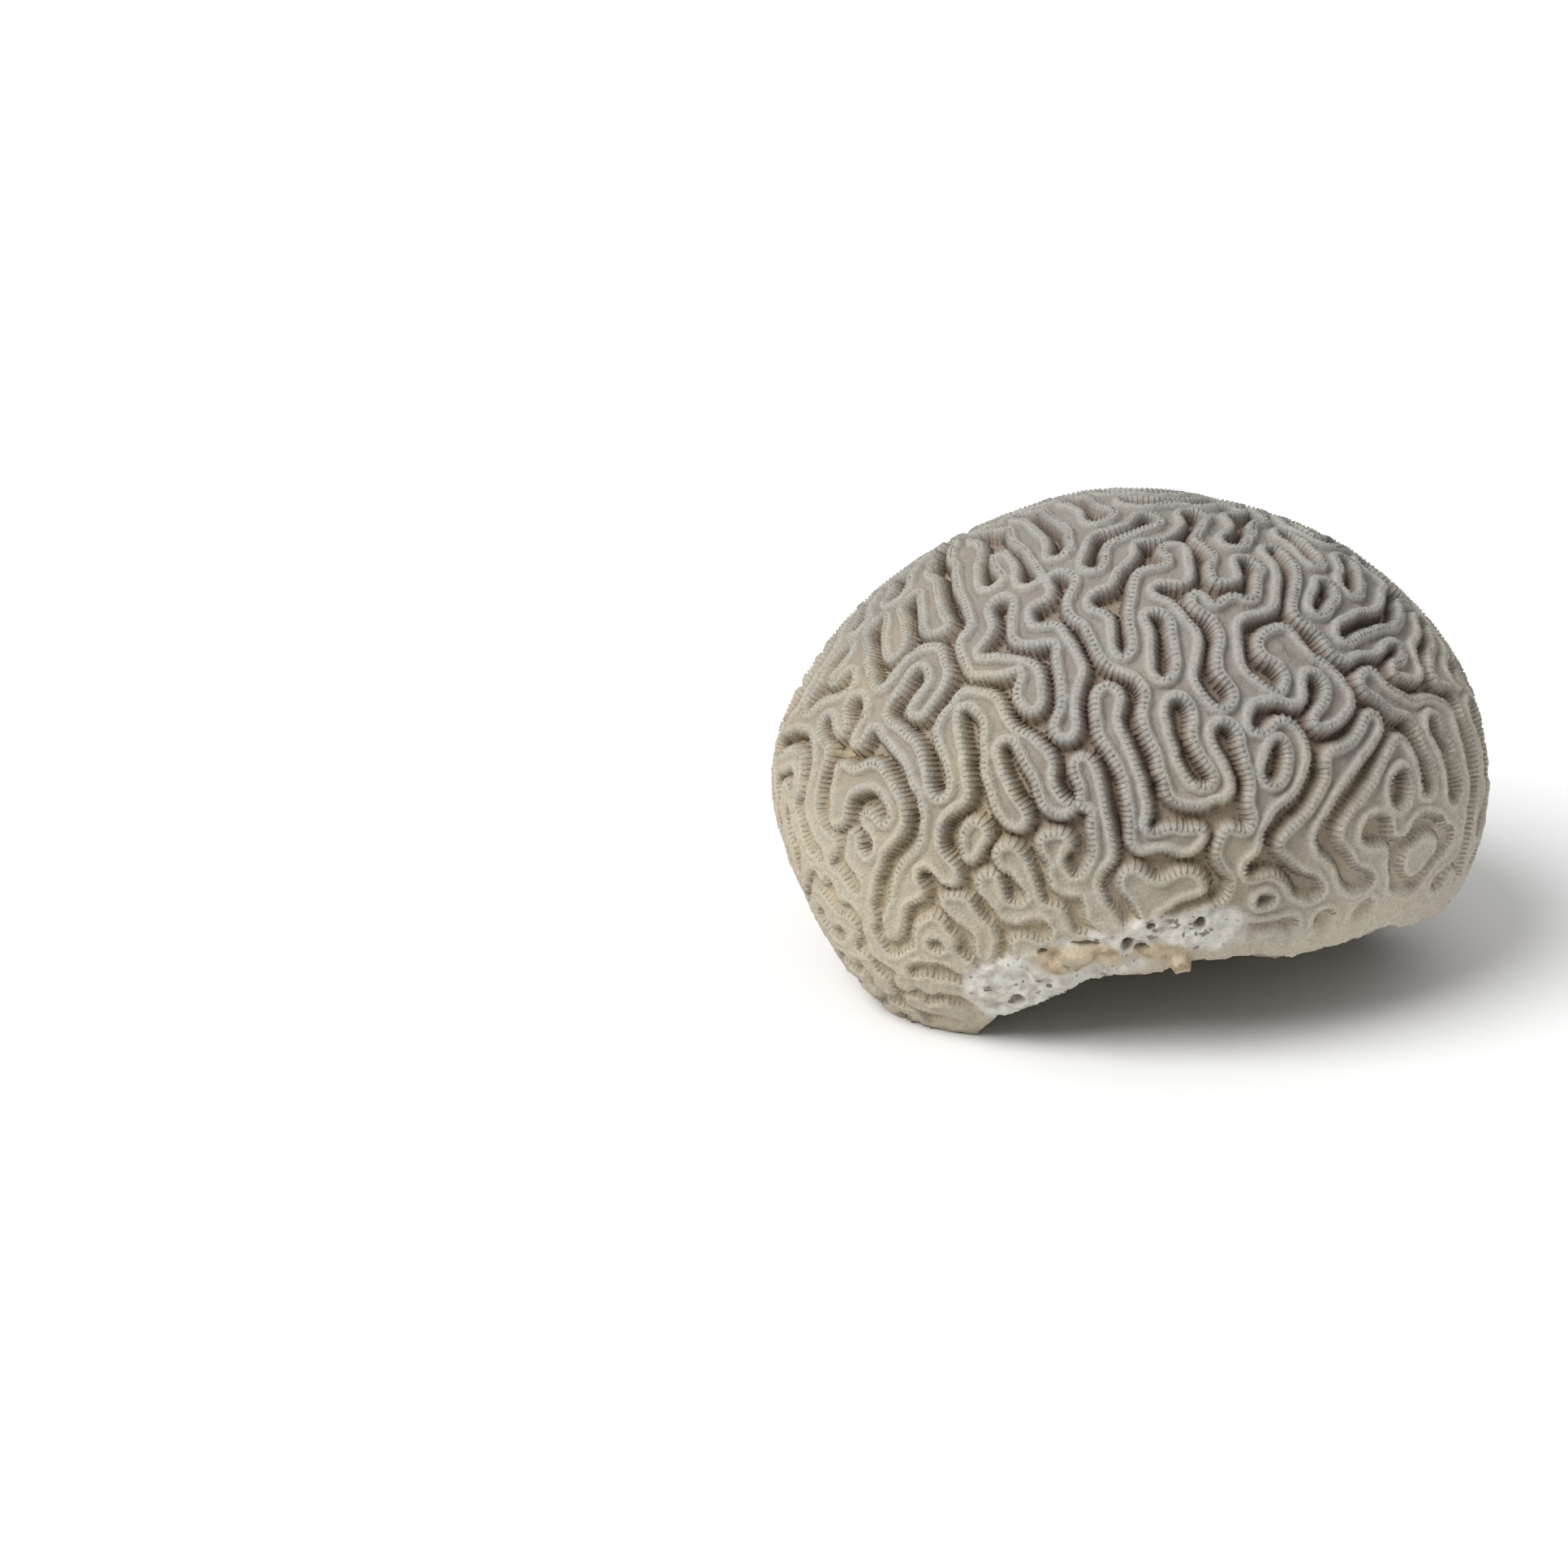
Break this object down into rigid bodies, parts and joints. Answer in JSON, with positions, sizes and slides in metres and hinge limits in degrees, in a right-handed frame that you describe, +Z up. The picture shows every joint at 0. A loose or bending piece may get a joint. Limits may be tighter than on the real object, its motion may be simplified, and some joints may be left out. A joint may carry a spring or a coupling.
{
  "type": "brain coral",
  "caption": "Domed brain coral skeleton with winding double-crested ridges and deep toothed valleys, cut flat below, its front right underside broken away.",
  "frame": {"origin": "on the flat cut that the coral rests on, under the middle of its bounding box", "axes": "+Z up, away from the flat cut; +X along the longest side, towards the end over the broken rim; -Y towards the broken front"},
  "size_m": [0.128, 0.1078, 0.0843],
  "materials": {
    "coral_skeleton": "matte, chalky, finely granular"
  },
  "bodies": {
    "root": {"coral": "coral_skeleton"}
  },
  "joints": []
}
